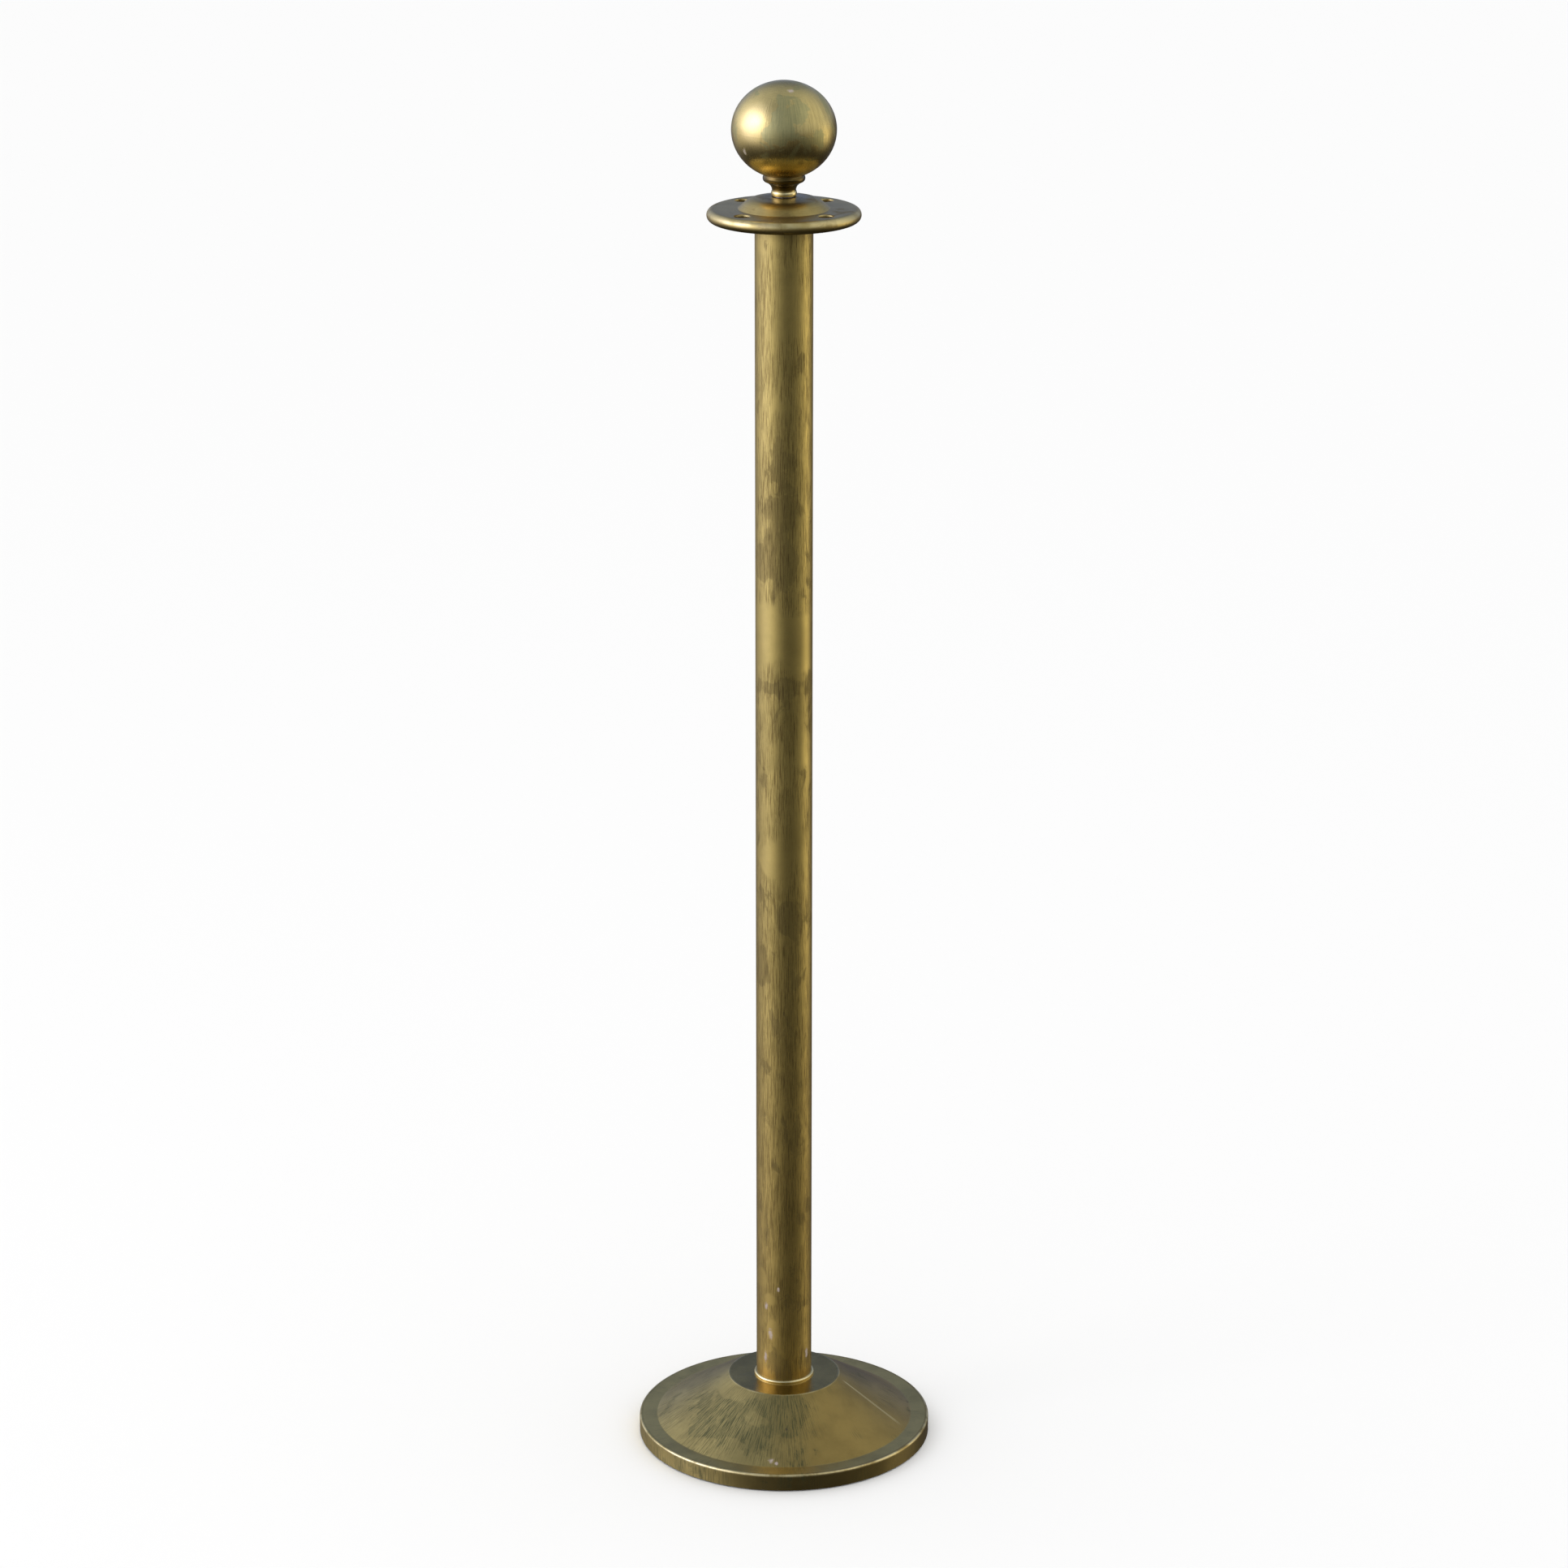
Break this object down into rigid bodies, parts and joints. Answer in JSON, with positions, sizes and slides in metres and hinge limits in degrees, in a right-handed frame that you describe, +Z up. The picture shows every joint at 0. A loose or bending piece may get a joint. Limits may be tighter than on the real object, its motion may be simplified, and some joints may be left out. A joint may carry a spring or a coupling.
{
  "type": "rope barrier stanchion",
  "caption": "Free-standing brass rope barrier post on a weighted conical round base, with a turning holed collar and a screw-on ball finial.",
  "frame": {"origin": "on the floor, at the middle of the base", "axes": "+Z up along the post's centre line; +X and +Y point between the collar's hook holes"},
  "size_m": [0.212, 0.212, 0.9949],
  "materials": {
    "aged_brass_base": "spun brass, aged olive brown with radial tarnish and a bright worn rim edge",
    "aged_brass_post": "brass tube, brushed along its length, with brown tarnish blotches",
    "aged_brass_collar": "cast brass, grey-brown tarnish, edge rubbed bright",
    "aged_brass_finial": "spun brass, worn polish with brown tarnish",
    "clean_brass": "bare brazed brass",
    "cast_iron": "sand-cast, black varnish",
    "pad_rubber": "matt moulded rubber",
    "zinc_steel": "zinc plated",
    "plain_steel": "turned, oiled",
    "nylon": "off-white turned nylon",
    "red_fibre": "vulcanised fibre"
  },
  "bodies": {
    "stand": {"base_cover": "aged_brass_base", "base_weight": "cast_iron", "floor_pad": "pad_rubber", "foot_ring": "aged_brass_base", "base_bolt": "zinc_steel", "base_flat_washer": "zinc_steel", "base_spring_washer": "zinc_steel", "post_tube": "aged_brass_post", "lower_plug": "plain_steel", "upper_plug": "plain_steel", "thrust_washer": "nylon"},
    "collar": {"rope_collar": "aged_brass_collar", "collar_bush": "nylon"},
    "finial_lift": {"finial_washer": "red_fibre"},
    "finial": {"finial_neck": "aged_brass_finial", "finial_stud": "zinc_steel", "ball_lower_shell": "aged_brass_finial", "ball_upper_shell": "aged_brass_finial", "ball_ferrule": "clean_brass", "ball_clamp_washer": "zinc_steel", "ball_nut": "zinc_steel"}
  },
  "joints": [
    {"name": "collar_swivel", "type": "hinge", "parent": "stand", "child": "collar", "pos_m": [0, 0, 0.8994], "axis": [0, 0, 1], "continuous": true},
    {"name": "finial_rise", "type": "slide", "parent": "stand", "child": "finial_lift", "axis": [0, 0, 1], "range_m": [0, 0.015]},
    {"name": "finial_turn", "type": "hinge", "parent": "finial_lift", "child": "finial", "pos_m": [0, 0, 0.9168], "axis": [0, 0, 1], "range_deg": [0, 3600]}
  ],
  "couplings": [
    {"joint": "finial_rise", "follows": "finial_turn", "m_per_rad": 0.00023873}
  ]
}
